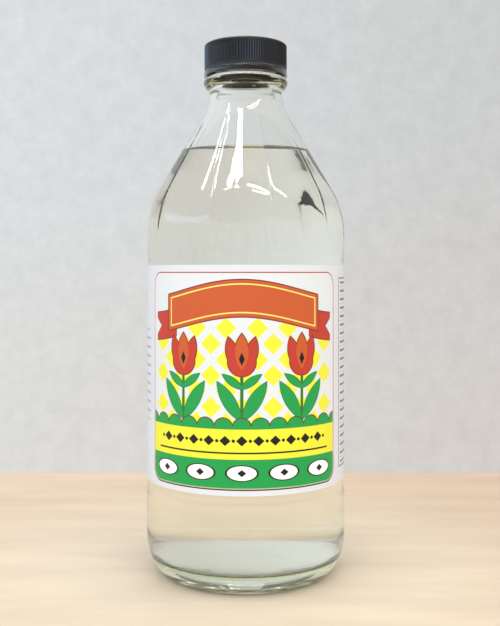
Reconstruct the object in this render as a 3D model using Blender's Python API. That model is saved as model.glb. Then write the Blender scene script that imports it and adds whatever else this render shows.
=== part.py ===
"""A round glass vinegar bottle, full and shut: glass, vinegar, paper label and ribbed screw cap.

Metres, +Z up. The origin is the middle of the ring that the bottle stands on. The front of the label
faces -Y, and an azimuth is counted from there, growing towards +X.
"""

import math

import bmesh
import bpy

# Bottle, outside
BODY_RADIUS = 0.0359
LABEL_SEAT_RADIUS = 0.03525
NECK_RADIUS = 0.0132
FINISH_RADIUS = 0.0126
LIP_HEIGHT = 0.1894
LIP_ROUND = 0.0009
BEAD_RADIUS = 0.0153
BEAD_TOP = 0.1789
BEAD_UPPER_ROUND = 0.0019
BEAD_LOWER_ROUND = 0.0024
NECK_CURVE = 0.018
SHOULDER_SLOPE = math.radians(30.96)
SHOULDER_CURVE = 0.028
SHOULDER_START = 0.1233
LABEL_SEAT_TOP = 0.1112
LABEL_SEAT_BOTTOM = 0.0338
SEAT_EDGE = 0.0012
HEEL_INSET = 0.0079
HEEL_HEIGHT = 0.0150
HEEL_TURN = 78
STANDING_RADIUS = 0.0283
STANDING_WIDTH = 0.0012
PUNT_WALL = 0.0056
PUNT_EASE = 0.0028
PUNT_DOME = 0.0016

# The lobes that run round the shoulder, with a groove between each two
LOBES = 10
GROOVE_AZIMUTH = math.radians(15)
GROOVE_TOP = 0.1650
GROOVE_DEEPEST = 0.1320
GROOVE_TIP = 0.1210
LOBE_BULGE = 0.34
STEPS_PER_LOBE = 6

# Bottle, inside
BORE_RADIUS = 0.0098
BODY_WALL = 0.0025
SHOULDER_WALL = 0.0029
FLOOR_HEIGHT = 0.0070
FLOOR_RISE = 0.0030
FLOOR_CORNER = 0.0035

# Vinegar
FILL_LEVEL = 0.1510
GAP = 0.0003

# Label
LABEL_BOTTOM = 0.0345
LABEL_TOP = 0.1105
LABEL_RADIUS = 0.0357
LABEL_THICKNESS = 0.00014
LABEL_WRAP = math.radians(330)
LABEL_STEPS = 55

# Cap
CAP_RADIUS = 0.01505
CAP_BAND_RADIUS = 0.0152
CAP_BOTTOM = BEAD_TOP + GAP
CAP_TOP = 0.1910
CAP_BAND_TOP = 0.1809
CAP_BORE_RADIUS = 0.0131
CAP_LID = 0.0013
CAP_ROUND = 0.0009
RIBS = 100
RIB_DEPTH = 0.00025


def arc(centre_r, centre_z, radius, start, end, steps):
    """Points (r, z) on an arc, from one angle to the other, both in degrees from +r towards +z."""
    points = []
    for i in range(steps + 1):
        angle = math.radians(start + (end - start) * i / steps)
        points.append((centre_r + radius * math.cos(angle), centre_z + radius * math.sin(angle)))
    return points


def outer_profile():
    """The outside of the glass, from its lip down to the middle of its underside."""
    slope = math.degrees(SHOULDER_SLOPE)
    shoulder = arc(
        BODY_RADIUS - SHOULDER_CURVE, SHOULDER_START, SHOULDER_CURVE, slope, 0, 6
    )
    run = (shoulder[0][0] - NECK_RADIUS) / math.tan(SHOULDER_SLOPE)
    corner = shoulder[0][1] + run
    reach = NECK_CURVE * math.tan(SHOULDER_SLOPE / 2)
    neck = arc(NECK_RADIUS + NECK_CURVE, corner + reach, NECK_CURVE, 180, 180 + slope, 4)
    (first_r, first_z), (last_r, last_z) = neck[-1], shoulder[0]
    slant_steps = 6
    slant = [
        (
            first_r + (last_r - first_r) * i / slant_steps,
            first_z + (last_z - first_z) * i / slant_steps,
        )
        for i in range(1, slant_steps)
    ]
    bead = [(FINISH_RADIUS, BEAD_TOP)]
    bead_middle = BEAD_TOP - BEAD_UPPER_ROUND
    bead += arc(BEAD_RADIUS - BEAD_UPPER_ROUND, bead_middle, BEAD_UPPER_ROUND, 90, 0, 4)
    bead += arc(BEAD_RADIUS - BEAD_LOWER_ROUND, bead_middle, BEAD_LOWER_ROUND, 0, -78, 5)[1:]
    heel = [
        (BODY_RADIUS - HEEL_INSET * (1 - r), HEEL_HEIGHT * (1 + z))
        for r, z in arc(0, 0, 1, 0, -HEEL_TURN, 6)
    ]
    points = arc(FINISH_RADIUS - LIP_ROUND, LIP_HEIGHT - LIP_ROUND, LIP_ROUND, 90, 0, 3)
    points += bead + neck + slant + shoulder
    points += [
        (BODY_RADIUS, GROOVE_TIP),
        (BODY_RADIUS, LABEL_SEAT_TOP + SEAT_EDGE),
        (LABEL_SEAT_RADIUS, LABEL_SEAT_TOP),
        (LABEL_SEAT_RADIUS, LABEL_SEAT_BOTTOM),
        (BODY_RADIUS, LABEL_SEAT_BOTTOM - SEAT_EDGE),
    ]
    points += heel
    points += [
        (STANDING_RADIUS + STANDING_WIDTH / 2, 0),
        (STANDING_RADIUS - STANDING_WIDTH / 2, 0),
    ]
    edge = STANDING_RADIUS - STANDING_WIDTH / 2
    wall_steps = 4
    for i in range(1, wall_steps + 1):
        share = i / wall_steps
        inwards = PUNT_EASE * (1 - math.cos(math.pi * share)) / 2
        points.append((edge - inwards, PUNT_WALL * share))
    dome = edge - PUNT_EASE
    dome_steps = 3
    for i in range(1, dome_steps + 1):
        share = i / dome_steps
        points.append((dome * (1 - share), PUNT_WALL + PUNT_DOME * math.sin(share * math.pi / 2)))
    return points


def inner_profile(inset=0.0):
    """The inside of the glass, from its lip down to the middle of its floor.

    An inset above 0 gives the surface that lies that far inside it.
    """
    slope = math.degrees(SHOULDER_SLOPE)
    radius = BODY_RADIUS - BODY_WALL - inset
    curve = SHOULDER_CURVE - SHOULDER_WALL - inset
    shoulder = arc(radius - curve, SHOULDER_START - 0.0004, curve, slope, 0, 5)
    bore = BORE_RADIUS - inset
    run = (shoulder[0][0] - bore) / math.tan(SHOULDER_SLOPE)
    corner = shoulder[0][1] + run
    bend = NECK_CURVE + inset
    reach = bend * math.tan(SHOULDER_SLOPE / 2)
    neck = arc(bore + bend, corner + reach, bend, 180, 180 + slope, 3)
    floor = FLOOR_HEIGHT + inset
    corner_curve = FLOOR_CORNER - inset
    floor_corner = arc(radius - corner_curve, floor + corner_curve, corner_curve, 0, -90, 4)
    points = [(bore, LIP_HEIGHT)] + neck + shoulder + floor_corner
    floor_steps = 3
    edge = floor_corner[-1][0]
    for i in range(1, floor_steps + 1):
        share = i / floor_steps
        points.append((edge * (1 - share), floor + FLOOR_RISE * math.sin(share * math.pi / 2)))
    return points


def lobe_share(z):
    """How strongly the lobes bulge at a height, from 0 at both ends to 1 where the grooves are deepest."""
    if z >= GROOVE_TOP or z <= GROOVE_TIP:
        return 0.0
    if z > GROOVE_DEEPEST:
        return ((GROOVE_TOP - z) / (GROOVE_TOP - GROOVE_DEEPEST)) ** 2
    share = (z - GROOVE_TIP) / (GROOVE_DEEPEST - GROOVE_TIP)
    return share * share * (3 - 2 * share)


def raise_lobes(verts):
    """Rounds the shoulder more strongly between each two grooves, which sinks the grooves in."""
    half = math.pi / LOBES
    for vert in verts:
        azimuth = math.atan2(vert.co.x, -vert.co.y)
        turn = (azimuth - GROOVE_AZIMUTH) % (2 * half) - half
        scale = 1 - LOBE_BULGE * lobe_share(vert.co.z) * turn * turn / 2
        vert.co.x *= scale
        vert.co.y *= scale


def spin_profile(bm, points, steps, start=0.0, angle=2 * math.pi):
    """Turns an outline of (r, z) points about the Z axis and returns the new points of the mesh."""
    before = set(bm.verts)
    across = (math.sin(start), -math.cos(start))
    outline = [bm.verts.new((r * across[0], r * across[1], z)) for r, z in points]
    edges = [bm.edges.new(pair) for pair in zip(outline, outline[1:])]
    bmesh.ops.spin(
        bm,
        geom=outline + edges,
        cent=(0, 0, 0),
        axis=(0, 0, 1),
        angle=angle,
        steps=steps,
        use_merge=angle >= 2 * math.pi,
        use_duplicate=False,
    )
    made = [vert for vert in bm.verts if vert not in before]
    bmesh.ops.remove_doubles(bm, verts=made, dist=1e-7)
    return [vert for vert in made if vert.is_valid]


def material(name, color, roughness, metallic=0.0, transmission=0.0, ior=1.5):
    made = bpy.data.materials.new(name)
    made.use_nodes = True
    shader = made.node_tree.nodes["Principled BSDF"]
    shader.inputs["Base Color"].default_value = (*color, 1.0)
    shader.inputs["Roughness"].default_value = roughness
    shader.inputs["Metallic"].default_value = metallic
    shader.inputs["Transmission Weight"].default_value = transmission
    shader.inputs["IOR"].default_value = ior
    made.diffuse_color = (*color, 1.0)
    return made


def finish_object(bm, name, finish, parent):
    """Makes the mesh an object, shaded smooth with its edges over 30 degrees kept sharp."""
    bmesh.ops.recalc_face_normals(bm, faces=bm.faces)
    mesh = bpy.data.meshes.new(name)
    bm.to_mesh(mesh)
    bm.free()
    mesh.shade_smooth()
    mesh.set_sharp_from_angle(angle=math.radians(30))
    mesh.materials.append(finish)
    made = bpy.data.objects.new(name, mesh)
    bpy.context.collection.objects.link(made)
    made.parent = parent
    return made


def make_bottle(parent):
    """One glass shell: the outside with its lobes, and the inside, joined at the lip."""
    steps = LOBES * STEPS_PER_LOBE
    outer = outer_profile()
    bm = bmesh.new()
    raise_lobes(spin_profile(bm, outer, steps, start=GROOVE_AZIMUTH))
    spin_profile(bm, [outer[0]] + inner_profile(), steps, start=GROOVE_AZIMUTH)
    bmesh.ops.remove_doubles(bm, verts=bm.verts, dist=1e-7)
    glass = material("clear_glass", (0.86, 0.91, 0.87), 0.03, transmission=1.0, ior=1.52)
    return finish_object(bm, "bottle", glass, parent)


def make_vinegar(parent):
    """The drink up to its level, just clear of the glass."""
    points = [(r, z) for r, z in inner_profile(GAP) if z < FILL_LEVEL]
    wall = [(r, z) for r, z in inner_profile(GAP) if z >= FILL_LEVEL][-1]
    below = points[0]
    share = (FILL_LEVEL - below[1]) / (wall[1] - below[1])
    edge = below[0] + (wall[0] - below[0]) * share
    points = [(0, FILL_LEVEL), (edge, FILL_LEVEL)] + points
    bm = bmesh.new()
    spin_profile(bm, points, 48)
    drink = material("vinegar", (0.93, 0.93, 0.80), 0.02, transmission=1.0, ior=1.34)
    return finish_object(bm, "vinegar", drink, parent)


def make_label(parent):
    """A thin paper band in the seat of the body, open at the back."""
    inner = LABEL_RADIUS - LABEL_THICKNESS
    outline = [
        (LABEL_RADIUS, LABEL_TOP),
        (LABEL_RADIUS, LABEL_BOTTOM),
        (inner, LABEL_BOTTOM),
        (inner, LABEL_TOP),
        (LABEL_RADIUS, LABEL_TOP),
    ]
    bm = bmesh.new()
    spin_profile(bm, outline, LABEL_STEPS, start=-LABEL_WRAP / 2, angle=LABEL_WRAP)
    ends = [edge for edge in bm.edges if edge.is_boundary]
    bmesh.ops.holes_fill(bm, edges=ends, sides=4)
    paper = material("label_paper", (0.88, 0.88, 0.86), 0.45)
    return finish_object(bm, "label", paper, parent)


def make_cap(parent):
    """A hollow screw cap: a plain band at the bottom, fine upright ribs above it, a smooth lid."""
    rib_bottom = CAP_BAND_TOP + 0.0002
    rib_top = CAP_TOP - CAP_ROUND
    outline = [(0, CAP_TOP)]
    outline += arc(CAP_RADIUS - CAP_ROUND, CAP_TOP - CAP_ROUND, CAP_ROUND, 90, 0, 3)
    outline += [
        (CAP_RADIUS, rib_bottom),
        (CAP_BAND_RADIUS, CAP_BAND_TOP),
        (CAP_BAND_RADIUS, CAP_BOTTOM),
        (CAP_BORE_RADIUS, CAP_BOTTOM),
        (CAP_BORE_RADIUS, CAP_TOP - CAP_LID),
        (0, CAP_TOP - CAP_LID),
    ]
    bm = bmesh.new()
    spin_profile(bm, outline, 2 * RIBS)
    groove = (CAP_RADIUS - RIB_DEPTH) / CAP_RADIUS
    step = math.pi / RIBS
    for vert in bm.verts:
        column = round(math.atan2(vert.co.x, -vert.co.y) / step)
        on_side = abs(vert.co.xy.length - CAP_RADIUS) < 1e-6
        if on_side and rib_bottom - 1e-6 <= vert.co.z <= rib_top + 1e-6 and column % 2:
            vert.co.x *= groove
            vert.co.y *= groove
    plastic = material("cap_plastic", (0.030, 0.032, 0.036), 0.35)
    return finish_object(bm, "cap", plastic, parent)


for old in list(bpy.data.objects):
    bpy.data.objects.remove(old, do_unlink=True)

stand = bpy.data.objects.new("stand", None)
bpy.context.collection.objects.link(stand)
make_bottle(stand)
make_vinegar(stand)
make_label(stand)
make_cap(stand)
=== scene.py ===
# %% [markdown]
# # A full bottle of vinegar
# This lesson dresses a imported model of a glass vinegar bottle: clear glass with a fluted shoulder,
# pale vinegar, a printed paper label and a black ribbed screw cap. Every piece is made again with
# finer outlines than the solids have, in the same place, and gets its own finish.

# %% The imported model
import math

import bmesh
import bpy
from mathutils import Matrix, Vector, noise


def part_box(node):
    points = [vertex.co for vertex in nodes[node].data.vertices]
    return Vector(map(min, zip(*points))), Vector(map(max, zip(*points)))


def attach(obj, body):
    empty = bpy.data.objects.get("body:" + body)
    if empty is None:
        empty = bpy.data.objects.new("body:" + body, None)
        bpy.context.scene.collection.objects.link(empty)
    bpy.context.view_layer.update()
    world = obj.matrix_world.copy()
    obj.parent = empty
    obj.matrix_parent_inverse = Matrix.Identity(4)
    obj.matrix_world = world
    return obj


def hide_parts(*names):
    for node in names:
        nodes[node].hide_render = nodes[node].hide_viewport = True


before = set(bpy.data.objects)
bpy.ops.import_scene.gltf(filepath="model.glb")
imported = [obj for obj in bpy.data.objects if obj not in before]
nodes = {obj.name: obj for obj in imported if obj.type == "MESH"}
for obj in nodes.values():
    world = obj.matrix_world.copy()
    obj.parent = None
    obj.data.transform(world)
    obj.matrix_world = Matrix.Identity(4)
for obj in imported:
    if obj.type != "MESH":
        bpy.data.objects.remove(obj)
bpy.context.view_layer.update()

print("nodes to dress:", sorted(nodes))

# %% [markdown]
# ## The sizes
# Lengths are in millimetres, and a mesh is scaled to metres when it is finished. Heights and radii are
# those of the solids, but for a few tenths of a millimetre in the bore and where the label sits. An
# azimuth is counted from the front of the label, growing towards +X.

# %% Driving sizes
MM = 0.001
GLASS_LOW, GLASS_HIGH = (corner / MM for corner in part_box("bottle"))
CAP_LOW, CAP_HIGH = (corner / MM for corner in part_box("cap"))
LABEL_LOW, LABEL_HIGH = (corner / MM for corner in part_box("label"))

BODY_RADIUS = 35.9
SEAT_RADIUS = 35.55
SEAT_EASE = 7
NECK_RADIUS = 13.2
FINISH_RADIUS = 12.6
LIP_ROUND = 0.9
BEAD_RADIUS = 15.3
BEAD_TOP = 178.9
BEAD_UPPER_ROUND = 1.9
BEAD_LOWER_ROUND = 2.4
BORE_RADIUS = 9.5
NECK_BORE = 10.7
BORE_TURN = 179
BORE_TURN_END = 170
HEEL_INSET = 7.9
HEEL_HEIGHT = 15
SHOULDER_SLOPE = 30.96
SHOULDER_CURVE = 28
SHOULDER_START = 123.3
NECK_CURVE = 18
BODY_WALL = 2.5
SHOULDER_WALL = 2.9
FLOOR_HEIGHT = 7.0
FLOOR_RISE = 3.0
FLOOR_CORNER = 3.5
STANDING_RADIUS = 28.3
STANDING_WIDTH = 1.2
PUNT_WALL = 5.6
PUNT_EASE = 2.8
PUNT_DOME = 1.6
LOBES = 10
GROOVE_AZIMUTH = math.radians(15)
STEPS_PER_LOBE = 36
print("glass from", round(GLASS_LOW.z, 1), "to", round(GLASS_HIGH.z, 1), "mm high")

# %% [markdown]
# ## The camera
# It looks straight ahead from the height of the print's upper edge, a third of a metre from the
# bottle's axis. A camera could be tilted down at the bottle, but that would make its sides converge.
# A small shift of the lens frames the bottle, the table's far edge and the wall, and keeps them upright.

# %% Camera
camera_data = bpy.data.cameras.new("camera")
camera_data.lens = 53.65
camera_data.shift_x = 0.007
camera_data.shift_y = -0.0645
camera = bpy.data.objects.new("camera", camera_data)
camera.location = (0, -0.3415, 0.1079)
camera.rotation_euler = (math.pi / 2, 0, 0)
bpy.context.scene.collection.objects.link(camera)
bpy.context.scene.camera = camera
print("camera at", tuple(round(x, 3) for x in camera.location))

# %% [markdown]
# ## Turning an outline
# Glass bottles and caps are round, so each piece is an outline of (radius, height) points turned about
# the Z axis. A spin keeps the outline editable: one number changes a wall all round. The round
# stretches are arcs, worked out from a centre and a radius.


# %% Outline helpers
def arc(centre_r, centre_z, radius, start, end, steps):
    """Points on an arc between two angles in degrees, counted from +r towards +z."""
    angles = [math.radians(start + (end - start) * i / steps) for i in range(steps + 1)]
    return [(centre_r + radius * math.cos(a), centre_z + radius * math.sin(a)) for a in angles]


def straight(start, end, steps):
    """Points from one end to the other, without the two ends."""
    shares = [i / steps for i in range(1, steps)]
    return [tuple(a + (b - a) * share for a, b in zip(start, end)) for share in shares]


def spin_outline(bm, points, steps, start=0.0, angle=2 * math.pi, sectors=1):
    """Turns an outline about the Z axis and returns the new points of the mesh.

    A full turn can be made as equal sectors: one is spun and the others are turned copies of it,
    which is much quicker than one long spin.
    """
    before = set(bm.verts)
    across = (math.sin(start), -math.cos(start))
    verts = [bm.verts.new((r * across[0], r * across[1], z)) for r, z in points]
    edges = [bm.edges.new(pair) for pair in zip(verts, verts[1:])]
    bmesh.ops.spin(bm, geom=verts + edges, cent=(0, 0, 0), axis=(0, 0, 1), angle=angle / sectors,
                   steps=steps // sectors, use_merge=False, use_duplicate=False)
    sector = [vert for vert in bm.verts if vert not in before]
    faces = {face for vert in sector for face in vert.link_faces}
    for i in range(1, sectors):
        copied = bmesh.ops.duplicate(bm, geom=sector + list(faces))["geom"]
        turned = [part for part in copied if isinstance(part, bmesh.types.BMVert)]
        turn = Matrix.Rotation(angle / sectors * i, 3, "Z")
        bmesh.ops.rotate(bm, cent=(0, 0, 0), matrix=turn, verts=turned)
    made = [vert for vert in bm.verts if vert not in before]
    bmesh.ops.remove_doubles(bm, verts=made, dist=1e-4)
    return [vert for vert in made if vert.is_valid]


def finish_piece(bm, name, node, finish, sharp=35):
    """Closes a mesh in millimetres, makes it an object in metres and lets it stand for its node."""
    bmesh.ops.remove_doubles(bm, verts=bm.verts, dist=1e-4)
    bmesh.ops.recalc_face_normals(bm, faces=bm.faces)
    bmesh.ops.scale(bm, vec=(MM, MM, MM), verts=bm.verts)
    mesh = bpy.data.meshes.new(name)
    bm.to_mesh(mesh)
    bm.free()
    mesh.shade_smooth()
    mesh.set_sharp_from_angle(angle=math.radians(sharp))
    mesh.materials.append(finish)
    piece = bpy.data.objects.new(name, mesh)
    bpy.context.scene.collection.objects.link(piece)
    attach(piece, "root")
    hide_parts(node)
    triangles = sum(len(face.vertices) - 2 for face in mesh.polygons)
    print(name, "has", triangles, "triangles")


# %% [markdown]
# ## Writing shader maths
# A material is a tree of nodes. The class below wraps one output of a node, so that a pattern can be
# written as a sum in Python: `1 - mask` adds a Math node. Any other node comes from its one method,
# which takes the node's type, its settings and what goes into its sockets.


# %% Shader helper
class Wire:
    """One output of a shader node."""

    def __init__(self, tree, socket=None):
        self.tree = tree
        self.socket = socket

    def node(self, kind, settings=None, values=None, out=0):
        """Adds a node: first its settings, then the value or the wire of each socket named."""
        added = self.tree.nodes.new("ShaderNode" + kind)
        for name, value in (settings or {}).items():
            setattr(added, name, value)
        for name, value in (values or {}).items():
            if isinstance(value, Wire):
                self.tree.links.new(value.socket, added.inputs[name])
            else:
                added.inputs[name].default_value = value
        return Wire(self.tree, added.outputs[out])

    def math(self, operation, *terms):
        return self.node("Math", {"operation": operation}, dict(enumerate(terms)))

    def __add__(self, other):
        return self.math("ADD", self, other)

    def __radd__(self, other):
        return self.math("ADD", other, self)

    def __sub__(self, other):
        return self.math("SUBTRACT", self, other)

    def __rsub__(self, other):
        return self.math("SUBTRACT", other, self)

    def __mul__(self, other):
        return self.math("MULTIPLY", self, other)

    def __rmul__(self, other):
        return self.math("MULTIPLY", other, self)

    def __truediv__(self, other):
        return self.math("DIVIDE", self, other)

    def __pow__(self, other):
        return self.math("POWER", self, other)

    def __mod__(self, other):
        return self.math("FLOORED_MODULO", self, other)

    def __abs__(self):
        return self.math("ABSOLUTE", self)

    def cosine(self):
        return self.math("COSINE", self)

    def least(self, other):
        return self.math("MINIMUM", self, other)

    def most(self, other):
        return self.math("MAXIMUM", self, other)

    def between(self, low, high):
        """0 at or below low, 1 at or above high, smooth between them."""
        values = {"Value": self, "From Min": low, "From Max": high}
        return self.node("MapRange", {"interpolation_type": "SMOOTHSTEP"}, values)

    def mix(self, first, second):
        """The first colour where this is 0, the second where it is 1."""
        values = {0: self, 6: first, 7: second}
        return self.node("Mix", {"data_type": "RGBA"}, values, out=2)

    def scaled(self, factor):
        """A colour made brighter or darker by a factor."""
        return self.node("VectorMath", {"operation": "SCALE"}, {0: self, "Scale": factor})

    def parts(self):
        """The three coordinates of a place or a direction."""
        split = self.node("SeparateXYZ", values={"Vector": self}).socket.node
        return [Wire(self.tree, output) for output in split.outputs]


def rgb(red, green, blue):
    """A colour for a shader socket, from the 0 to 255 values that a picture shows."""
    shares = [value / 255 for value in (red, green, blue)]
    linear = [s / 12.92 if s <= 0.04045 else ((s + 0.055) / 1.055) ** 2.4 for s in shares]
    return (*linear, 1.0)


def start_material(name):
    """A new material: its shader node and a wire at the object's own coordinates, in metres."""
    material = bpy.data.materials.new(name)
    material.use_nodes = True
    tree = material.node_tree
    shader = tree.nodes["Principled BSDF"]
    place = Wire(tree).node("TexCoord", out="Object")
    return material, shader, place


def plug(shader, name, wire):
    """Links a wire to a socket of the shader."""
    wire.tree.links.new(wire.socket, shader.inputs[name])


def speckle(place, scale, detail=2.0, roughness=0.5):
    """Cloudy noise; on a piece, scale is about how many spots there are to a metre."""
    values = {"Vector": place, "Scale": scale, "Detail": detail, "Roughness": roughness}
    return place.node("TexNoise", values=values)


def fill_volume(material, color, density):
    """Lets the inside of a clear piece soak up light, the more the deeper it is."""
    tree = material.node_tree
    soaked = Wire(tree).node("VolumeAbsorption", values={"Color": color, "Density": density})
    tree.links.new(soaked.socket, tree.nodes["Material Output"].inputs["Volume"])


def bump(height, strength, distance):
    """A normal from a height; the distance is in metres."""
    values = {"Height": height, "Strength": strength, "Distance": distance}
    return height.node("Bump", values=values)


print("shader helpers are ready")

# %% [markdown]
# ## The glass
# The bottle is blown in a mould, so its outside is crisp and its inside is soft. The shoulder has ten
# convex lobes with a groove between each two, which fade out up the slope and stop just above the
# body. The neck ends in a bead, and the body is sunk a little where the label sits. Under the base the
# glass is pushed up, and the bottle stands on a ring.
#
# Glass needs a real thickness, because light bends where it goes in and again where it comes out. So
# there are two outlines, one for each side of the wall, and they share the ring of points at the lip.


# %% Outline of the glass
def soft_step(start, end, steps):
    """An S-shaped run between two points of an outline, upright at both ends."""
    points = []
    for i in range(steps + 1):
        share = (1 - math.cos(math.pi * i / steps)) / 2
        height = start[1] + (end[1] - start[1]) * i / steps
        points.append((start[0] + (end[0] - start[0]) * share, height))
    return points


def dome(edge, low, rise, steps=8):
    """From the edge of a dome in to its top, without the edge itself."""
    shares = [i / steps for i in range(1, steps + 1)]
    return [(edge * (1 - share), low + rise * math.sin(math.pi / 2 * share)) for share in shares]


def outer_outline():
    """The outside of the glass, from its lip down to the middle of its underside."""
    shoulder = arc(BODY_RADIUS - SHOULDER_CURVE, SHOULDER_START, SHOULDER_CURVE, SHOULDER_SLOPE, 0, 26)
    slope = math.radians(SHOULDER_SLOPE)
    corner = shoulder[0][1] + (shoulder[0][0] - NECK_RADIUS) / math.tan(slope)
    reach = NECK_CURVE * math.tan(slope / 2)
    neck = arc(NECK_RADIUS + NECK_CURVE, corner + reach, NECK_CURVE, 180, 180 + SHOULDER_SLOPE, 16)
    bead_middle = BEAD_TOP - BEAD_UPPER_ROUND
    bead = [(FINISH_RADIUS, BEAD_TOP)]
    bead += arc(BEAD_RADIUS - BEAD_UPPER_ROUND, bead_middle, BEAD_UPPER_ROUND, 90, 0, 8)
    bead += arc(BEAD_RADIUS - BEAD_LOWER_ROUND, bead_middle, BEAD_LOWER_ROUND, 0, -78, 9)[1:]
    lip = arc(FINISH_RADIUS - LIP_ROUND, GLASS_HIGH.z - LIP_ROUND, LIP_ROUND, 90, 0, 4)
    heel = [
        (BODY_RADIUS - HEEL_INSET * (1 - r), HEEL_HEIGHT * (1 + z)) for r, z in arc(0, 0, 1, 0, -78, 22)
    ]
    points = lip + straight(lip[-1], bead[0], 4) + bead + neck
    points += straight(neck[-1], shoulder[0], 20) + shoulder
    seat_start = (BODY_RADIUS, LABEL_HIGH.z + SEAT_EASE)
    points += straight(shoulder[-1], seat_start, 3)
    points += soft_step(seat_start, (SEAT_RADIUS, LABEL_HIGH.z), 8)
    points += straight((SEAT_RADIUS, LABEL_HIGH.z), (SEAT_RADIUS, LABEL_LOW.z), 8)
    points += soft_step((SEAT_RADIUS, LABEL_LOW.z), (BODY_RADIUS, LABEL_LOW.z - SEAT_EASE), 8)
    points += straight((BODY_RADIUS, LABEL_LOW.z - SEAT_EASE), heel[0], 5) + heel
    edge = STANDING_RADIUS - STANDING_WIDTH / 2
    points += [(edge + STANDING_WIDTH, 0.0), (edge, 0.0)]
    points += soft_step((edge, 0.0), (edge - PUNT_EASE, PUNT_WALL), 8)[1:]
    points += dome(edge - PUNT_EASE, PUNT_WALL, PUNT_DOME)
    return points


def inner_outline(grow=0.0):
    """The inside of the glass, from its lip down to the middle of its floor, moved out by grow."""
    radius = BODY_RADIUS - BODY_WALL + grow
    curve = SHOULDER_CURVE - SHOULDER_WALL + grow
    bore = NECK_BORE + grow
    shoulder = arc(radius - curve, SHOULDER_START - 0.4, curve, SHOULDER_SLOPE, 0, 14)
    slope = math.radians(SHOULDER_SLOPE)
    corner = shoulder[0][1] + (shoulder[0][0] - bore) / math.tan(slope)
    bend = NECK_CURVE - grow
    neck = arc(bore + bend, corner + bend * math.tan(slope / 2), bend, 180, 180 + SHOULDER_SLOPE, 10)
    floor = FLOOR_HEIGHT - grow
    rounding = FLOOR_CORNER + grow
    heel = arc(radius - rounding, floor + rounding, rounding, 0, -90, 12)
    lip = (BORE_RADIUS + grow, GLASS_HIGH.z)
    points = [lip] + soft_step((lip[0], BORE_TURN), (bore, BORE_TURN_END), 10)[:-1] + neck
    points += straight(neck[-1], shoulder[0], 6) + shoulder
    points += straight(shoulder[-1], heel[0], 8) + heel
    points += dome(heel[-1][0], floor, FLOOR_RISE)
    return points


print("the glass has", len(outer_outline()), "points outside and", len(inner_outline()), "inside")

# %% [markdown]
# ## Lobes, waviness and knurls
# The grooves could be cut with a Boolean. Here the turned surface is pushed in a little instead, most
# at each groove, because that keeps it smooth for the highlights. A groove ends in a fine crease, and
# the columns of points are gathered there first. A slow noise then moves both sides of the wall, as
# blown glass is never quite even, and the ring that the bottle stands on gets its small bars.

# %% Lobes
GROOVE_TOP = 165
GROOVE_DEEPEST = 132
GROOVE_TIP = 121
LOBE_BULGE = 0.38
CREASE_DEPTH = 0.13
CREASE_WIDTH = 0.45
CREASE_FADE_UP = 9
CREASE_FADE_DOWN = 2
HALF_LOBE = math.pi / LOBES


def lobe_share(z):
    """How strongly the lobes bulge at a height, from 0 to 1 where the grooves are deepest."""
    if z >= GROOVE_TOP or z <= GROOVE_TIP:
        return 0.0
    if z > GROOVE_DEEPEST:
        return ((GROOVE_TOP - z) / (GROOVE_TOP - GROOVE_DEEPEST)) ** 2
    share = (z - GROOVE_TIP) / (GROOVE_DEEPEST - GROOVE_TIP)
    return share * share * (3 - 2 * share)


def crease_share(z):
    """How deep the sharp bottom of a groove is at a height, from 0 to 1."""
    return max(0.0, min(1.0, (GROOVE_TOP - z) / CREASE_FADE_UP, (z - GROOVE_TIP) / CREASE_FADE_DOWN))


def crowd(verts):
    """Gathers the columns of points towards the grooves, where the surface turns most sharply."""
    for vert in verts:
        azimuth = math.atan2(vert.co.x, -vert.co.y)
        turn = (azimuth - GROOVE_AZIMUTH) % (2 * HALF_LOBE) - HALF_LOBE
        gathered = HALF_LOBE * math.sin(math.pi / 2 * turn / HALF_LOBE)
        vert.co.rotate(Matrix.Rotation(gathered - turn, 3, "Z"))


def raise_lobes(verts):
    """Pushes the shoulder in towards each groove, which leaves the lobes rounded between them."""
    for vert in verts:
        azimuth = math.atan2(vert.co.x, -vert.co.y)
        turn = (azimuth - GROOVE_AZIMUTH) % (2 * HALF_LOBE) - HALF_LOBE
        radius = vert.co.xy.length
        aside = radius * (HALF_LOBE - abs(turn)) / CREASE_WIDTH
        crease = CREASE_DEPTH * crease_share(vert.co.z) * math.exp(-aside * aside)
        pushed = radius * LOBE_BULGE * lobe_share(vert.co.z) * turn * turn / 2 + crease
        vert.co.x *= 1 - pushed / radius if radius else 1
        vert.co.y *= 1 - pushed / radius if radius else 1


print("each lobe is", round(math.degrees(2 * HALF_LOBE)), "degrees wide")


# %% Waviness
OUTSIDE_WAVER = 0.10
OUTSIDE_SPREAD = 26
INSIDE_WAVER = 0.16
INSIDE_SPREAD = 22


def waver(verts, depth, spread, seed):
    """Moves points in and out by a smooth noise, whose humps lie about a spread apart."""
    shift = Vector((seed, 2 * seed, 3 * seed))
    for vert in verts:
        radius = vert.co.xy.length
        fade = max(0.0, min(1.0, (BEAD_TOP - vert.co.z) / 10, (radius - 5) / 10))
        if fade:
            stretched = Vector((vert.co.x, vert.co.y, vert.co.z * 0.6)) / spread
            push = depth * fade * noise.noise(stretched + shift)
            vert.co.x *= 1 + push / radius
            vert.co.y *= 1 + push / radius


print("the inside of the glass wavers by up to", INSIDE_WAVER, "mm")

# %% Knurls
KNURLS = 72
KNURL_DEPTH = 0.35
KNURL_REACH = 1.6


def knurl(verts):
    """Lifts the glass between the small bars that a bottle stands on."""
    for vert in verts:
        radius = vert.co.xy.length
        off_ring = abs(radius - STANDING_RADIUS) / KNURL_REACH
        if off_ring < 1 and vert.co.z < KNURL_REACH:
            azimuth = math.atan2(vert.co.x, -vert.co.y)
            gap = 0.5 - 0.5 * math.cos(KNURLS * azimuth)
            vert.co.z += KNURL_DEPTH * gap * (1 - off_ring**2)


print(KNURLS, "bars on the standing ring")

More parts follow.
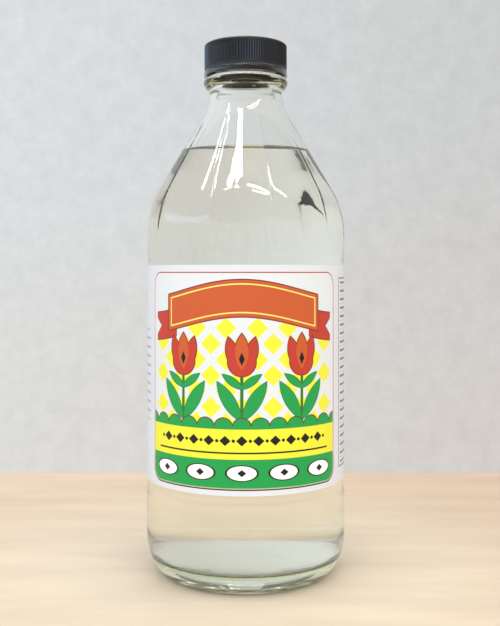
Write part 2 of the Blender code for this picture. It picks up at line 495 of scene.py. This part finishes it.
# %% [markdown]
# ## The finish of the glass
# Clear glass has almost no colour of its own, but iron in it makes thick places look olive. A tinted
# surface would colour thin and thick places alike. Absorption in the volume makes the tint grow with
# the thickness, and a faint bump stands for the ripples that are too small for the mesh.

# %% Glass finish
GLASS_IOR = 1.52
GLASS_TINT = (0.58, 0.80, 0.25, 1)
GLASS_TINT_DENSITY = 10.0
glass, shader, place = start_material("clear_glass")
shader.inputs["Base Color"].default_value = (1.0, 1.0, 1.0, 1.0)
shader.inputs["Roughness"].default_value = 0.0
shader.inputs["Transmission Weight"].default_value = 1.0
shader.inputs["IOR"].default_value = GLASS_IOR
ripple = speckle(place, 140)
plug(shader, "Normal", bump(ripple, 0.12, 0.0002))
fill_volume(glass, GLASS_TINT, GLASS_TINT_DENSITY)
print("glass bends light by", GLASS_IOR)

# %% Glass bottle
bm = bmesh.new()
steps = LOBES * STEPS_PER_LOBE
outside = spin_outline(bm, outer_outline(), steps, GROOVE_AZIMUTH, sectors=LOBES)
crowd(outside)
raise_lobes(outside)
waver(outside, OUTSIDE_WAVER, OUTSIDE_SPREAD, seed=1)
knurl(outside)
lip_and_inside = [outer_outline()[0]] + inner_outline()
inside = spin_outline(bm, lip_and_inside, steps, GROOVE_AZIMUTH, sectors=LOBES)
crowd(inside)
waver(inside, INSIDE_WAVER, INSIDE_SPREAD, seed=2)
finish_piece(bm, "glass", "bottle", glass, sharp=50)

# %% [markdown]
# ## The vinegar
# Vinegar wets the glass, so its surface is flat in the middle and climbs a couple of millimetres at
# the wall. The solids keep a gap between the two, but in a render that gap would mirror like a layer
# of air. So the sides reach a hair's breadth into the glass, with the same waviness as its inside, and
# light bends there as it does where vinegar meets glass.

# %% Vinegar finish
VINEGAR_IOR = 1.34
VINEGAR_TINT = (0.85, 0.88, 0.42, 1)
VINEGAR_TINT_DENSITY = 2.0
vinegar, shader, place = start_material("vinegar")
shader.inputs["Base Color"].default_value = (1.0, 1.0, 1.0, 1.0)
shader.inputs["Roughness"].default_value = 0.0
shader.inputs["Transmission Weight"].default_value = 1.0
shader.inputs["IOR"].default_value = VINEGAR_IOR
still = speckle(place, 60, 1.0)
plug(shader, "Normal", bump(still, 0.02, 0.0002))
fill_volume(vinegar, VINEGAR_TINT, VINEGAR_TINT_DENSITY)
print("vinegar bends light by", VINEGAR_IOR)

# %% Vinegar body
LEVEL = 149.3
CLIMB = 1.9
CLIMB_WIDTH = 1.0
INTO_GLASS = 0.03
VINEGAR_STEPS = 180


def vinegar_outline():
    """From the middle of the surface out to the wall, and down it to the middle of the floor."""
    wall = inner_outline(INTO_GLASS)
    contact = LEVEL + CLIMB
    above = [point for point in wall if point[1] >= contact][-1]
    under = [point for point in wall if point[1] < contact]
    share = (contact - under[0][1]) / (above[1] - under[0][1])
    edge = under[0][0] + (above[0] - under[0][0]) * share
    surface = [(0.0, LEVEL), (edge * 0.5, LEVEL)]
    steps = 16
    for i in range(steps + 1):
        away = 4 * CLIMB_WIDTH * (1 - i / steps) ** 1.5
        surface.append((edge - away, LEVEL + CLIMB * math.exp(-away / CLIMB_WIDTH)))
    return surface + under


bm = bmesh.new()
body = spin_outline(bm, vinegar_outline(), VINEGAR_STEPS, sectors=10)
waver(body, INSIDE_WAVER, INSIDE_SPREAD, seed=2)
finish_piece(bm, "vinegar_fill", "vinegar", vinegar, sharp=50)

# %% [markdown]
# ## The label
# It is one strip of coated paper, wrapped round the body with its two ends apart at the back. It is
# glued on, so there is no air between paper and glass: the strip's inside reaches a hair's breadth
# into the wall, and through the vinegar one sees the bare paper, with painted light that makes it paler.
#
# Its print could be a picture on the mesh. Here it is drawn in the shader, which stays sharp at any
# size. Places are in millimetres round the label and up it. Each shape is a distance to its own edge,
# which a mask with a soft edge turns into ink.

# %% Label sizes
LABEL_RADIUS = 35.72
LABEL_THICKNESS = 0.26
LABEL_WRAP = math.radians(330)
LABEL_BOTTOM = LABEL_LOW.z
LABEL_TOP = LABEL_HIGH.z
print("the label reaches from", round(LABEL_BOTTOM, 1), "to", round(LABEL_TOP, 1), "mm")


# %% Print coordinates and shapes
class Print:
    """The place on the label: s runs round it and t up it, both in millimetres."""

    def __init__(self, s, t):
        self.s = s
        self.t = t

    def moved(self, s, t, turn=0.0):
        """The same place seen from a shape's own centre and turn, in degrees."""
        s_off = self.s - s
        t_off = self.t - t
        if not turn:
            return Print(s_off, t_off)
        cos, sin = math.cos(math.radians(turn)), math.sin(math.radians(turn))
        return Print(s_off * cos + t_off * sin, t_off * cos - s_off * sin)

    def repeated(self, pitch):
        """The same place in a row of equal cells, with s from the middle of its own cell."""
        return Print((self.s + pitch / 2) % pitch - pitch / 2, self.t)

    def stacked(self, pitch):
        """The same place in a column of equal cells, with t from the middle of its own cell."""
        return Print(self.s, (self.t + pitch / 2) % pitch - pitch / 2)

    def mirrored(self):
        return Print(abs(self.s), self.t)


INK_EDGE = 0.10


def inked(distance):
    """A mask from a distance to an edge: 1 inside a shape, 0 outside it."""
    return (0.5 - distance / INK_EDGE).most(0.0).least(1.0)


def ring(distance, half_width):
    """The distance to a line of that half width along a shape's edge."""
    return abs(distance) - half_width


def circle(at, radius):
    length = (at.s * at.s + at.t * at.t) ** 0.5
    return length - radius


def ellipse(at, half_s, half_t):
    """A distance that is right near the edge of an ellipse that isn't too flat."""
    length = ((at.s / half_s) ** 2 + (at.t / half_t) ** 2) ** 0.5
    return (length - 1.0) * min(half_s, half_t)


def box(at, half_s, half_t, rounding=0.0):
    over_s = abs(at.s) - (half_s - rounding)
    over_t = abs(at.t) - (half_t - rounding)
    outside = (over_s.most(0.0) ** 2 + over_t.most(0.0) ** 2) ** 0.5
    return outside + over_s.most(over_t).least(0.0) - rounding


def diamond(at, half_s, half_t):
    return (abs(at.s) / half_s + abs(at.t) / half_t - 1.0) * min(half_s, half_t)


def leaf(at, half_length, half_width):
    """Two arcs that meet in points at both ends of a leaf along t."""
    radius = (half_length**2 + half_width**2) / (2 * half_width)
    reach = abs(at.s) + (radius - half_width)
    return (reach * reach + at.t * at.t) ** 0.5 - radius


print("an ink's edge is", INK_EDGE, "mm soft")

# %% Label inks
PAPER = rgb(210, 217, 226)
PANEL = rgb(214, 221, 226)
YELLOW = rgb(228, 227, 50)
PALE_YELLOW = rgb(232, 228, 118)
GREEN = rgb(14, 154, 72)
DEEP_GREEN = rgb(36, 118, 44)
ORANGE = rgb(194, 86, 36)
RED = rgb(186, 54, 36)
DARK_RED = rgb(122, 40, 44)
PINK = rgb(240, 206, 206)
BROWN = rgb(92, 42, 22)
DARK = rgb(24, 22, 16)
GREY = rgb(120, 122, 126)
WHITE = rgb(246, 247, 246)
# Bare paper with painted light: paler than the front paper, for the light that reaches the label's
# inside through the vinegar.
BARE_PAPER_AND_PAINTED_LIGHT = rgb(236, 238, 240)
LINE_GREEN = rgb(10, 58, 26)
print("the panel is printed on", [round(share, 2) for share in PANEL[:3]])

# %% [markdown]
# ## The print, motif by motif
# A printer lays one ink over another, and so does the shader: `ink` starts as paper, and each motif
# mixes its own colours over what is already there. Ribbon, tulips and lattice make a plain country
# pattern. Rows of equal shapes are drawn once, in a place that repeats.

# %% Panel
paper, shader, place = start_material("label_paper")
x, y, z = place.parts()
azimuth = x.math("ARCTAN2", x, y * -1.0)
sheet = Print(azimuth * LABEL_RADIUS, z * (1 / MM))

PANEL_MIDDLE = -1.25
PANEL_HALF_WIDTH = 37.35
PANEL_BOTTOM = 36.5
PANEL_TOP = 108.0
PANEL_ROUNDING = 4.5
PANEL_HALF_HEIGHT = (PANEL_TOP - PANEL_BOTTOM) / 2
front = sheet.moved(PANEL_MIDDLE, 0.0)
panel = sheet.moved(PANEL_MIDDLE, PANEL_BOTTOM + PANEL_HALF_HEIGHT)
panel_edge = box(panel, PANEL_HALF_WIDTH, PANEL_HALF_HEIGHT, PANEL_ROUNDING)
inside_panel = inked(panel_edge)
ink = inside_panel.mix(PAPER, PANEL)
print("the panel is", 2 * PANEL_HALF_WIDTH, "mm wide and", 2 * PANEL_HALF_HEIGHT, "mm high")

# %% Lattice behind the flowers
LATTICE_CELL = 7.4
LATTICE_MIDDLE = 74
LATTICE_HALF_WIDTH = 32.0
LATTICE_HALF_HEIGHT = 16.0
LATTICE_ROUNDING = 6
SQUARE_HALF = 2.5


def lattice(ink):
    """Squares in cells turned by 45 degrees; only those whose centre is in the field are drawn."""
    tilted = front.moved(0, LATTICE_MIDDLE, 45)
    square = tilted.repeated(LATTICE_CELL).stacked(LATTICE_CELL)
    centre = Print(tilted.s - square.s, tilted.t - square.t).moved(0, 0, -45)
    field = inked(box(centre, LATTICE_HALF_WIDTH, LATTICE_HALF_HEIGHT, LATTICE_ROUNDING))
    return (inked(box(square, SQUARE_HALF, SQUARE_HALF)) * field).mix(ink, YELLOW)


ink = lattice(ink)
print("lattice in cells of", LATTICE_CELL, "mm")

# %% Ribbon across the top
RIBBON_HEIGHT = 96.5
RIBBON_ARCH = 3.0
RIBBON_BEND = 12.0
RIBBON_HALF_WIDTH = 28.0
RIBBON_HALF_HEIGHT = 6.0
RIBBON_OUTLINE = 0.4
PIPING_INSET = 1.3
PIPING_HALF_WIDTH = 0.22
TAIL_DROP = 4.0
TAIL_MIDDLE = 29.5
TAIL_HALF_WIDTH = 5.2
TAIL_HALF_HEIGHT = 4.6
NOTCH_MIDDLE = 36.5
OUTLINE = 0.35


def ribbon(ink):
    """An arched ribbon with piping, over two notched tails that hang lower behind it."""
    over = front.t - RIBBON_HEIGHT - RIBBON_ARCH * (front.s / RIBBON_BEND).cosine()
    low = over + TAIL_DROP
    tail = box(Print(abs(front.s) - TAIL_MIDDLE, low), TAIL_HALF_WIDTH, TAIL_HALF_HEIGHT)
    notch = diamond(Print(abs(front.s) - NOTCH_MIDDLE, low), TAIL_HALF_HEIGHT, TAIL_HALF_HEIGHT)
    ink = (inked(tail - OUTLINE) * (1 - inked(notch + OUTLINE))).mix(ink, DARK_RED)
    ink = (inked(tail) * (1 - inked(notch))).mix(ink, RED)
    band = box(Print(front.s, over), RIBBON_HALF_WIDTH, RIBBON_HALF_HEIGHT)
    ink = inked(band - RIBBON_OUTLINE).mix(ink, DARK_RED)
    ink = inked(band).mix(ink, ORANGE)
    return inked(ring(band + PIPING_INSET, PIPING_HALF_WIDTH)).mix(ink, PALE_YELLOW)


ink = ribbon(ink)
print("ribbon", 2 * RIBBON_HALF_WIDTH, "mm wide")

# %% Three tulips on their stems
TULIP_PITCH = 21.0
TULIP_ROW_HALF = 31.5
STEM_MIDDLE = 66
CUP_MIDDLE = 78.5
CUP_RADIUS = 4.6


def tulips(ink):
    """Each flower is a round cup with three petals, and each stem has two pairs of leaves."""
    row = inked(abs(front.s) - TULIP_ROW_HALF)
    flower = front.repeated(TULIP_PITCH)
    sides = flower.mirrored()
    stem = box(flower.moved(0, STEM_MIDDLE), 0.55, 8.5)
    low_leaf = leaf(sides.moved(4.2, STEM_MIDDLE - 0.5, -32), 7.6, 2.1)
    high_leaf = leaf(sides.moved(3.0, STEM_MIDDLE + 6, -55), 4.2, 1.2)
    leaves = low_leaf.least(high_leaf)
    ink = (inked(stem) * row).mix(ink, DEEP_GREEN)
    ink = (inked(leaves - 0.25) * row).mix(ink, DEEP_GREEN)
    ink = (inked(leaves) * row).mix(ink, GREEN)
    cup = circle(flower.moved(0, CUP_MIDDLE), CUP_RADIUS)
    side_petal = leaf(sides.moved(3.1, CUP_MIDDLE + 2.7, -14), 5.6, 2.0)
    middle_petal = leaf(flower.moved(0, CUP_MIDDLE + 3.3), 6.0, 2.2)
    heart = diamond(flower.moved(0, CUP_MIDDLE + 1), 1.0, 2.2)
    head = cup.least(side_petal)
    ink = (inked(head.least(middle_petal) - OUTLINE) * row).mix(ink, DARK_RED)
    ink = (inked(head) * row).mix(ink, RED)
    ink = (inked(middle_petal) * row).mix(ink, ORANGE)
    return (inked(heart) * row).mix(ink, DARK)


ink = tulips(ink)
print("tulips", TULIP_PITCH, "mm apart")

# %% Scalloped ground that they stand on
SCALLOP_PITCH = 6.2
SCALLOP_RADIUS = 3.0
GROUND_TOP = 57.0


def scalloped_ground(ink):
    """A row of half circles along the top of a thin strip."""
    scallop = circle(front.repeated(SCALLOP_PITCH).moved(0, GROUND_TOP), SCALLOP_RADIUS)
    ground = scallop.least(box(front.moved(0, GROUND_TOP - 0.4), PANEL_HALF_WIDTH, 0.9))
    ink = (inked(scallop - OUTLINE) * inside_panel).mix(ink, BROWN)
    return (inked(ground) * inside_panel).mix(ink, GREEN)


ink = scalloped_ground(ink)
print("scallops", SCALLOP_PITCH, "mm apart")

# %% Two bands at the foot
BAND_HALF_HEIGHT = 5.0
YELLOW_BAND_MIDDLE = 51.4
GEM_PITCH = 5.6
GEM_HEIGHT = 52.6
GEM_ROW_HALF = 31.6
RULE_HEIGHT = 48.6
RULE_HALF_LENGTH = 33.0
RULE_HALF_WIDTH = 0.28
GREEN_BAND_MIDDLE = 41.5
OVAL_PITCH = 14.4
OVAL_HEIGHT = 42.0
OVAL_HALF_WIDTH = 4.9
OVAL_HALF_HEIGHT = 2.4
OVAL_ROW_HALF = 34.0


def band_of(ink, middle, color):
    """A band across the panel."""
    across = box(front.moved(0, middle), PANEL_HALF_WIDTH, BAND_HALF_HEIGHT)
    return (inked(across) * inside_panel).mix(ink, color)


def yellow_band(ink):
    """Diamonds and dots by turns, over a thin rule."""
    ink = band_of(ink, YELLOW_BAND_MIDDLE, YELLOW)
    gems = diamond(front.repeated(GEM_PITCH).moved(0, GEM_HEIGHT), 1.9, 1.7)
    between = front.moved(-GEM_PITCH / 2, 0).repeated(GEM_PITCH)
    dots = circle(between.moved(0, GEM_HEIGHT), 0.55)
    rule = box(front.moved(0, RULE_HEIGHT), RULE_HALF_LENGTH, RULE_HALF_WIDTH)
    row = inked(abs(front.s) - GEM_ROW_HALF)
    ink = (inked(gems.least(dots)) * row).mix(ink, DARK)
    return inked(rule).mix(ink, DARK)


def green_band(ink):
    """White ovals, each with a small diamond in its middle."""
    ink = band_of(ink, GREEN_BAND_MIDDLE, GREEN)
    middle = front.repeated(OVAL_PITCH).moved(0, OVAL_HEIGHT)
    oval = ellipse(middle, OVAL_HALF_WIDTH, OVAL_HALF_HEIGHT)
    row = inked(abs(front.s) - OVAL_ROW_HALF)
    ink = (inked(oval - OUTLINE) * row).mix(ink, DARK)
    ink = (inked(oval) * row).mix(ink, WHITE)
    return (inked(diamond(middle, 1.5, 1.2)) * row).mix(ink, DARK)


ink = green_band(yellow_band(ink))
print("ovals", OVAL_PITCH, "mm apart")

# %% Thin border round the panel
BORDER_GLOW = 0.55
BORDER_HALF_WIDTH = 0.16
FOOT_HALF_WIDTH = 0.22
FOOT_TOP = 45.0


def border(ink):
    """A red line with a pink glow, and a green line round the foot."""
    ink = (inked(ring(panel_edge, BORDER_GLOW)) * 0.6).mix(ink, PINK)
    ink = inked(ring(panel_edge, BORDER_HALF_WIDTH)).mix(ink, DARK_RED)
    foot = inked(ring(panel_edge, FOOT_HALF_WIDTH)) * inked(front.t - FOOT_TOP)
    return foot.mix(ink, LINE_GREEN)


ink = border(ink)
print("the border is", 2 * BORDER_HALF_WIDTH, "mm wide")

# %% [markdown]
# ## The two sides of the label
# Beside the panel the label is plain paper, with a ruled table on the right and short grey bars on the
# left. They repeat up the label as the flowers do across the panel.

# %% Ruled table and bars
RULES_MIDDLE = 53.5
RULES_HEIGHT = 73.0
RULES_HALF_WIDTH = 12.5
RULES_HALF_HEIGHT = 33.0
RULE_PITCH = 3.0
BARS_MIDDLE = -50.0
BARS_HEIGHT = 72.0
BARS_HALF_HEIGHT = 16.0
BAR_PITCH = 3.2
BAR_HALF_LENGTH = 7.0


def ruled_table(ink):
    """A framed table of thin rules, with a dark bar between each two."""
    inside = sheet.moved(RULES_MIDDLE, RULES_HEIGHT)
    edge = box(inside, RULES_HALF_WIDTH, RULES_HALF_HEIGHT, 0.6)
    row = inside.stacked(RULE_PITCH)
    upper = box(row.moved(-4.0, RULE_PITCH / 2), BAR_HALF_LENGTH, 0.42)
    lower = box(row.moved(-4.0, -RULE_PITCH / 2), BAR_HALF_LENGTH, 0.42)
    ink = (inked(abs(row.t) - 0.07) * inked(edge) * 0.7).mix(ink, GREY)
    ink = (inked(lower.least(upper)) * inked(edge + 1.2) * 0.75).mix(ink, DARK)
    return (inked(ring(edge, 0.2)) * 0.9).mix(ink, DARK)


def grey_bars(ink):
    """A column of short bars."""
    inside = sheet.moved(BARS_MIDDLE, BARS_HEIGHT)
    bar = box(inside.stacked(BAR_PITCH), BAR_HALF_LENGTH, 0.4)
    return (inked(bar) * inked(abs(inside.t) - BARS_HALF_HEIGHT) * 0.6).mix(ink, GREY)


ink = grey_bars(ruled_table(ink))
print("rules", RULE_PITCH, "mm apart on the right, bars", BAR_PITCH, "mm apart on the left")

# %% Label finish
# The side towards the glass is bare paper. Painted light makes it paler than the front paper, for the
# light that reaches it through the vinegar and the paper.
from_axis = (x * x + y * y) ** 0.5 * (1 / MM)
printed_side = from_axis.between(LABEL_RADIUS - 0.09, LABEL_RADIUS - 0.05)
plug(shader, "Base Color", printed_side.mix(BARE_PAPER_AND_PAINTED_LIGHT, ink))
shader.inputs["Roughness"].default_value = 0.42
shader.inputs["Specular IOR Level"].default_value = 0.4
fibre = speckle(place, 1400, 3.0, 0.6)
plug(shader, "Normal", bump(fibre, 0.10, 0.0001))
print("the print takes", len(paper.node_tree.nodes), "nodes")

# %% Label on the body
LABEL_STEPS = 220


def label_outline():
    """Down the printed side of the strip and up the side towards the glass."""
    inner = LABEL_RADIUS - LABEL_THICKNESS
    outer_top, outer_low = (LABEL_RADIUS, LABEL_TOP), (LABEL_RADIUS, LABEL_BOTTOM)
    inner_top, inner_low = (inner, LABEL_TOP), (inner, LABEL_BOTTOM)
    points = [outer_top] + straight(outer_top, outer_low, 12) + [outer_low, inner_low]
    return points + straight(inner_low, inner_top, 12) + [inner_top, outer_top]


bm = bmesh.new()
spin_outline(bm, label_outline(), LABEL_STEPS, start=-LABEL_WRAP / 2, angle=LABEL_WRAP)
bmesh.ops.remove_doubles(bm, verts=bm.verts, dist=1e-4)
bmesh.ops.holes_fill(bm, edges=[edge for edge in bm.edges if edge.is_boundary], sides=40)
finish_piece(bm, "label_strip", "label", paper)

# %% [markdown]
# ## The cap
# A screw cap is moulded in black plastic, with a hundred fine upright ribs for grip above a plain
# band. The ribs are a wave in the radius of a turned outline: a Boolean for each would be slower and
# leave sharp, thin faces. Polished black plastic shows hardly any colour but what it mirrors, so its
# finish is a near-black base under a clear coat, a little smudged by hands.

# %% Cap finish
BLACK = (0.002, 0.0022, 0.003, 1)
WORN_BLACK = (0.006, 0.0065, 0.008, 1)
plastic, shader, place = start_material("cap_plastic")
grain = speckle(place, 2600, 3.0, 0.6)
smudge = speckle(place, 220)
plug(shader, "Base Color", smudge.mix(BLACK, WORN_BLACK))
plug(shader, "Roughness", 0.18 + 0.14 * smudge)
shader.inputs["Specular IOR Level"].default_value = 0.6
shader.inputs["Coat Weight"].default_value = 0.9
shader.inputs["Coat Roughness"].default_value = 0.1
shader.inputs["Coat IOR"].default_value = 1.6
plug(shader, "Normal", bump(grain, 0.25, 0.0001))
shader.inputs["IOR"].default_value = 1.5
print("the cap's base colour goes from", BLACK[:3], "to", WORN_BLACK[:3])

# %% Cap
CAP_RADIUS = 15.05
CAP_ROUND = 0.9
CAP_BAND_RADIUS = 15.2
CAP_BAND_TOP = 180.9
CAP_BORE = 13.1
CAP_LID = 1.3
RIBS = 100
RIB_DEPTH = 0.38
STEPS_PER_RIB = 8


def cap_outline():
    """From the middle of the lid's top, down the outside, and up the inside to the lid."""
    top = CAP_HIGH.z
    low = CAP_LOW.z
    points = [(0.0, top), (12.6, top)]
    points += arc(CAP_RADIUS - CAP_ROUND, top - CAP_ROUND, CAP_ROUND, 90, 0, 8)
    points += straight((CAP_RADIUS, top - CAP_ROUND), (CAP_RADIUS, CAP_BAND_TOP + 0.5), 6)
    points += [(CAP_RADIUS, CAP_BAND_TOP + 0.5), (CAP_RADIUS, CAP_BAND_TOP + 0.2)]
    points += [(CAP_RADIUS - 0.2, CAP_BAND_TOP + 0.05)]
    points += arc(CAP_BAND_RADIUS - 0.15, CAP_BAND_TOP - 0.15, 0.15, 90, 0, 3)
    points += arc(CAP_BAND_RADIUS - 0.2, low + 0.2, 0.2, 0, -90, 3)
    points += [(CAP_BORE, low), (CAP_BORE, top - CAP_LID), (0.0, top - CAP_LID)]
    return points


def rib(verts):
    """Cuts a round-bottomed groove between each two ribs, fading out at both ends."""
    low, high = CAP_BAND_TOP + 0.35, CAP_HIGH.z - 0.35
    for vert in verts:
        radius = vert.co.xy.length
        if radius < CAP_RADIUS - 0.7 or not low < vert.co.z < high:
            continue
        fade = min(1.0, (vert.co.z - low) / 0.3, (high - vert.co.z) / 0.5)
        wave = math.cos(RIBS * math.atan2(vert.co.x, -vert.co.y))
        depth = RIB_DEPTH * fade * (0.5 - 0.5 * wave) ** 0.8
        vert.co.x *= 1 - depth / radius
        vert.co.y *= 1 - depth / radius


bm = bmesh.new()
rib(spin_outline(bm, cap_outline(), RIBS * STEPS_PER_RIB, sectors=20))
finish_piece(bm, "screw_cap", "cap", plastic, sharp=50)

# %% [markdown]
# ## The table
# It is a plain pale wooden board, which ends behind the bottle. It only carries the bottle and its
# soft shadow, so one flat face is enough. Its grain is noise stretched along the board. The wood's
# colour has painted light round the bottle, and painted shade away from it and on the right.

# %% Table
BOARD_EDGE = 0.161
BOARD_HALF_WIDTH = 0.7
BOARD_HALF_DEPTH = 0.5
GRAIN_STRETCH = 5.0
GRAIN_DARKER = 0.88
# Painted light makes the wood palest near the bottle; painted shade makes it darker and warmer far off
# and on the right.
PAINTED_LIGHT_NEAR_LEFT, PAINTED_LIGHT_NEAR_RIGHT = rgb(250, 233, 208), rgb(246, 228, 200)
PAINTED_SHADE_FAR_LEFT, PAINTED_SHADE_FAR_RIGHT = rgb(238, 214, 186), rgb(220, 193, 163)
wood, shader, place = start_material("pale_wood")
stretch = {"Vector": place, "Scale": (1.0, GRAIN_STRETCH, 1.0)}
grain = speckle(place.node("Mapping", values=stretch), 9, 4.0, 0.6)
x, y = place.parts()[:2]
# Painted light near the bottle and painted shade far off and to the right, mixed into the wood's colour.
painted_shade_to_the_right = x.between(-0.25, 0.3)
away = (x * x + y * y) ** 0.5
painted_light_near_wood = painted_shade_to_the_right.mix(PAINTED_LIGHT_NEAR_LEFT, PAINTED_LIGHT_NEAR_RIGHT)
painted_shade_far_wood = painted_shade_to_the_right.mix(PAINTED_SHADE_FAR_LEFT, PAINTED_SHADE_FAR_RIGHT)
painted_light_and_shade_wood = away.between(0.04, 0.16).mix(painted_light_near_wood, painted_shade_far_wood)
plug(shader, "Base Color", grain.between(0.3, 0.7).mix(painted_light_and_shade_wood.scaled(GRAIN_DARKER), painted_light_and_shade_wood))
shader.inputs["Roughness"].default_value = 0.55
bm = bmesh.new()
bmesh.ops.create_grid(bm, x_segments=1, y_segments=1, size=1)
bmesh.ops.scale(bm, vec=(BOARD_HALF_WIDTH, BOARD_HALF_DEPTH, 1), verts=bm.verts)
bmesh.ops.translate(bm, vec=(0, BOARD_EDGE - BOARD_HALF_DEPTH, 0), verts=bm.verts)
mesh = bpy.data.meshes.new("table")
bm.to_mesh(mesh)
bm.free()
mesh.materials.append(wood)
table = bpy.data.objects.new("table", mesh)
bpy.context.scene.collection.objects.link(table)
print("the table ends", BOARD_EDGE, "m behind the bottle's axis")

# %% [markdown]
# ## The wall and the soft light
# The world is the wall and the soft light at once. The wall could be a mesh, but that would keep out
# the light from behind. A Light Path node tells which kind of ray asks, so that each kind gets its own
# answer. The camera sees a mottled wall, cooler on the left. Bent and mirrored rays see it too where
# they go towards it. Elsewhere bent rays see a grey room, and mirrored rays a darker one. Mirrored rays
# also see a bluish window low on the left. Rays that a matt surface has scattered see a soft glow,
# which is stronger in front of the bottle than behind it.

# %% Wall
MOTTLE_SCALE = 60
MOTTLE_DEPTH = 0.28
LEFT_WALL_LOW, LEFT_WALL_HIGH = (0.73, 0.725, 0.70, 1), (0.72, 0.75, 0.775, 1)
RIGHT_WALL_LOW, RIGHT_WALL_HIGH = (0.655, 0.615, 0.585, 1), (0.61, 0.615, 0.615, 1)
world = bpy.data.worlds.new("room")
bpy.context.scene.world = world
world.use_nodes = True
way = Wire(world.node_tree).node("TexCoord", out="Generated")
sideways, depth, height = way.parts()
path = way.node("LightPath").socket.node.outputs
camera_ray = Wire(way.tree, path["Is Camera Ray"])
glossy_ray = Wire(way.tree, path["Is Glossy Ray"])
bent_ray = Wire(way.tree, path["Is Transmission Ray"])
scattered = Wire(way.tree, path["Diffuse Depth"])
upwards = height.between(-0.2, 0.2)
left_wall = upwards.mix(LEFT_WALL_LOW, LEFT_WALL_HIGH)
right_wall = upwards.mix(RIGHT_WALL_LOW, RIGHT_WALL_HIGH)
mottle = (1 - MOTTLE_DEPTH / 2) + MOTTLE_DEPTH * speckle(way, MOTTLE_SCALE, 6.0, 0.7)
level = mottle * (1.0 + 0.08 * bent_ray)
wall = sideways.between(-0.35, 0.35).mix(left_wall, right_wall).scaled(level)
print("the wall is mottled by", MOTTLE_DEPTH)

# %% Room and window
DARK_ROOM_LEFT, DARK_ROOM_RIGHT = (0.36, 0.40, 0.44, 1), (0.20, 0.18, 0.17, 1)
BRIGHT_ROOM_LEFT, BRIGHT_ROOM_RIGHT = (0.60, 0.64, 0.60, 1), (0.52, 0.52, 0.46, 1)
WINDOW = (1.0, 1.5, 2.1, 1)
mirrored_room = sideways.between(-0.7, 0.4).mix(DARK_ROOM_LEFT, DARK_ROOM_RIGHT)
bent_room = sideways.between(-0.7, 0.6).mix(BRIGHT_ROOM_LEFT, BRIGHT_ROOM_RIGHT)
towards_wall = depth.between(-0.55, 0.1).most(camera_ray)
seen = towards_wall.mix(bent_ray.mix(mirrored_room, bent_room), wall)
low_band = height.between(0.13, 0.20) * (1 - height.between(0.25, 0.32))
on_the_left = (1 - sideways.between(-0.85, -0.55)) * (1 - depth.between(0.2, 0.4))
seen = (glossy_ray * low_band * on_the_left).mix(seen, WINDOW)
print("the window is", WINDOW[2], "bright in blue")

# %% Soft light
GLOW_LEFT, GLOW_RIGHT = (0.98, 1.02, 1.06, 1), (1.02, 0.98, 0.93, 1)
GLOW_IN_FRONT = 1.86
GLOW_FALL = 1.3
forward = GLOW_IN_FRONT - GLOW_FALL * depth.between(-0.8, 0.8)
glow = sideways.between(-1.0, 1.0).mix(GLOW_LEFT, GLOW_RIGHT).scaled(forward)
looks = camera_ray.most(glossy_ray).most(bent_ray) * (1 - scattered.least(1.0))
backdrop = world.node_tree.nodes["Background"]
world.node_tree.links.new(looks.mix(glow, seen).socket, backdrop.inputs["Color"])
print("the glow falls from", GLOW_IN_FRONT, "in front to", round(GLOW_IN_FRONT - GLOW_FALL, 2), "behind")

# %% [markdown]
# ## The lamps
# The white streaks on the shoulder are long ceiling lamps, mirrored in it. A streak could be painted on
# the glass, but it would stay in place when the bottle turns. Here each lamp is a long, narrow area
# light that only shows in clear and glossy surfaces. The middle one is made of two, because its mirror
# image isn't equally wide all along.

# %% Lamps
LAMP_HEIGHT = 1.2
LAMP_BASE = Vector((0.0, -0.02, 0.15))
LAMP_BRIGHTNESS = 25


def ceiling_lamp(name, start, end, width):
    """A long lamp on the ceiling; its ends and width are shares of its height above the shoulder."""
    along = Vector(end) - Vector(start)
    middle = (Vector(end) + Vector(start)) / 2
    lamp = bpy.data.lights.new(name, "AREA")
    lamp.shape = "RECTANGLE"
    lamp.size = along.length * LAMP_HEIGHT
    lamp.size_y = width * LAMP_HEIGHT
    lamp.energy = LAMP_BRIGHTNESS * math.pi * lamp.size * lamp.size_y
    holder = bpy.data.objects.new(name, lamp)
    holder.location = LAMP_BASE + Vector((middle.x, middle.y, 1.0)) * LAMP_HEIGHT
    holder.rotation_euler = (0, 0, math.atan2(along.y, along.x))
    holder.visible_diffuse = False
    bpy.context.scene.collection.objects.link(holder)


ceiling_lamp("left_lamp", (-0.563, -0.099), (-0.80, -0.413), 0.06)
ceiling_lamp("middle_lamp_wide", (-0.096, -0.334), (-0.20, -0.366), 0.14)
ceiling_lamp("middle_lamp", (-0.19, -0.363), (-0.33, -0.406), 0.05)
ceiling_lamp("right_lamp", (0.056, -0.50), (0.94, -0.76), 0.08)

# %% [markdown]
# ## Light paths and colours
# Light crosses many clear surfaces in a full bottle: glass, vinegar and glass again, and back. With
# too few bounces the paths that bend most end in black, so their limits are raised.

# %% Light paths and colours
scene = bpy.context.scene
scene.view_settings.view_transform = "Standard"
scene.cycles.max_bounces = 24
scene.cycles.transmission_bounces = 24
scene.cycles.glossy_bounces = 12
scene.cycles.sample_clamp_indirect = 10
scene.cycles.use_denoising = True
